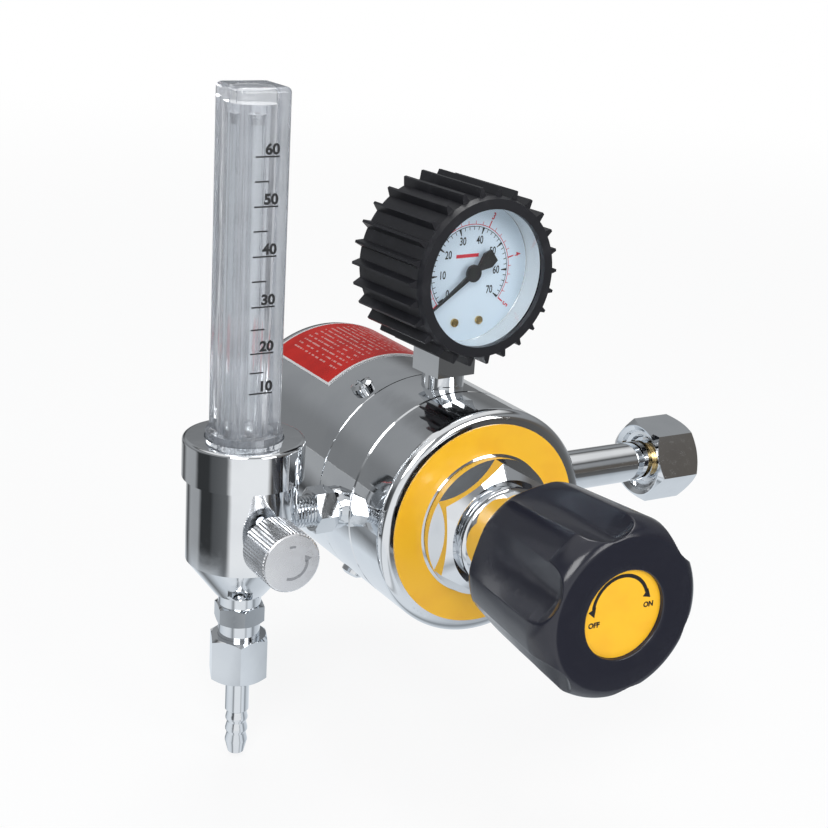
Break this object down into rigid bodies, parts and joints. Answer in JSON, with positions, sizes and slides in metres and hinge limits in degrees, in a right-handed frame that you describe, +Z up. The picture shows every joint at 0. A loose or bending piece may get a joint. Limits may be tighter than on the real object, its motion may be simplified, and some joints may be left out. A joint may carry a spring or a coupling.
{
  "type": "gas regulator",
  "caption": "Chromed gas regulator with an electric heater housing, a contents gauge in a ribbed rubber boot, a clear flowmeter, a black hand knob and a hose tail",
  "frame": {"origin": "centre of the inlet nut's mouth, on the inlet's axis", "axes": "+X points out of the inlet towards the cylinder valve; +Y runs along the body from the hand knob to the heater's rear end; +Z is up, along the flowmeter"},
  "size_m": [0.1858, 0.1977, 0.2092],
  "materials": {
    "chrome": "bright chrome plate",
    "brass": "turned brass",
    "steel": "turned and drawn steel",
    "knob_black": "moulded, satin gloss",
    "rubber_black": "moulded, matt",
    "seal_grey": "moulded, matt",
    "clear": "clear moulding, polished",
    "yellow_foil": "printed foil, satin",
    "red_foil": "printed foil, satin",
    "dial_white": "printed enamel",
    "pointer_black": "matt enamel",
    "case_black": "stove enamel",
    "gland_black": "moulded nylon",
    "fibre": "felted mineral fibre",
    "band_steel": "heat-tinted strip"
  },
  "bodies": {
    "regulator": {"regulator_body": "chrome", "bonnet": "chrome", "front_label": "yellow_foil", "diaphragm": "seal_grey", "valve_nozzle": "brass", "poppet_spring": "steel", "main_spring": "steel", "heater_cover": "chrome", "cover_screws": "chrome", "side_label": "red_foil", "heater_block": "brass", "heating_band": "band_steel", "thermal_cutout": "gland_black", "insulation_sleeve": "fibre", "cable_gland": "gland_black", "gland_lock_nut": "gland_black", "inlet_stem": "chrome", "inlet_nipple": "brass", "inlet_filter": "brass", "inlet_washer": "seal_grey", "gauge_socket": "chrome", "gauge_case": "case_black", "gauge_boot": "rubber_black", "gauge_dial": "dial_white", "dial_screws": "brass", "gauge_movement": "brass", "pressure_tube": "brass", "gauge_lens": "clear", "outlet_nipple": "chrome", "flow_body": "chrome", "flow_cap_nut": "chrome", "flow_cover": "clear", "metering_tube": "clear", "tube_head": "steel", "meter_seal": "rubber_black", "needle_gland": "chrome", "hose_fitting": "chrome", "hose_nut": "chrome", "hose_tail": "chrome"},
    "spring_seat": {"spring_button": "steel"},
    "knob": {"adjusting_knob": "knob_black", "knob_disc": "yellow_foil", "adjusting_screw": "steel", "stop_ring": "steel"},
    "valve": {"diaphragm_plate": "brass", "diaphragm_washer": "brass", "valve_poppet": "brass"},
    "inlet_union": {"inlet_nut": "chrome"},
    "pointer": {"gauge_pointer": "pointer_black"},
    "float": {"float_ball": "steel"},
    "stem_carrier": {"stem_seal": "rubber_black"},
    "needle": {"flow_knob": "chrome", "needle_stem": "brass", "knob_clamp_screw": "steel"}
  },
  "joints": [
    {"name": "seat_slide", "type": "slide", "parent": "regulator", "child": "spring_seat", "axis": [0, 1, 0], "range_m": [0, 0.006], "deforming": ["main_spring"]},
    {"name": "knob_turn", "type": "hinge", "parent": "spring_seat", "child": "knob", "pos_m": [-0.099, -0.06, 0], "axis": [0, 1, 0], "range_deg": [0, 1440]},
    {"name": "valve_lift", "type": "slide", "parent": "regulator", "child": "valve", "axis": [0, 1, 0], "range_m": [0, 0.0008], "stiffness_N_per_m": 2000, "deforming": ["diaphragm", "poppet_spring", "main_spring"]},
    {"name": "union_turn", "type": "hinge", "parent": "regulator", "child": "inlet_union", "pos_m": [-0.008, 0, 0], "axis": [1, 0, 0], "continuous": true},
    {"name": "pointer_turn", "type": "hinge", "parent": "regulator", "child": "pointer", "pos_m": [-0.099, 0, 0.0751], "axis": [-0.0698, 0.9976, 0], "range_deg": [0, 254], "stiffness_Nm_per_rad": 0.0001},
    {"name": "float_rise", "type": "slide", "parent": "regulator", "child": "float", "axis": [0, 0, 1], "range_m": [0, 0.085]},
    {"name": "stem_slide", "type": "slide", "parent": "regulator", "child": "stem_carrier", "axis": [0, -1, 0], "range_m": [0, 0.00187]},
    {"name": "flow_turn", "type": "hinge", "parent": "stem_carrier", "child": "needle", "pos_m": [-0.1674, -0.02, 0], "axis": [0, -1, 0], "range_deg": [0, 900]}
  ],
  "couplings": [
    {"joint": "knob_turn", "follows": "seat_slide", "rad_per_m": 4188.8},
    {"joint": "flow_turn", "follows": "stem_slide", "rad_per_m": 8377.6}
  ]
}
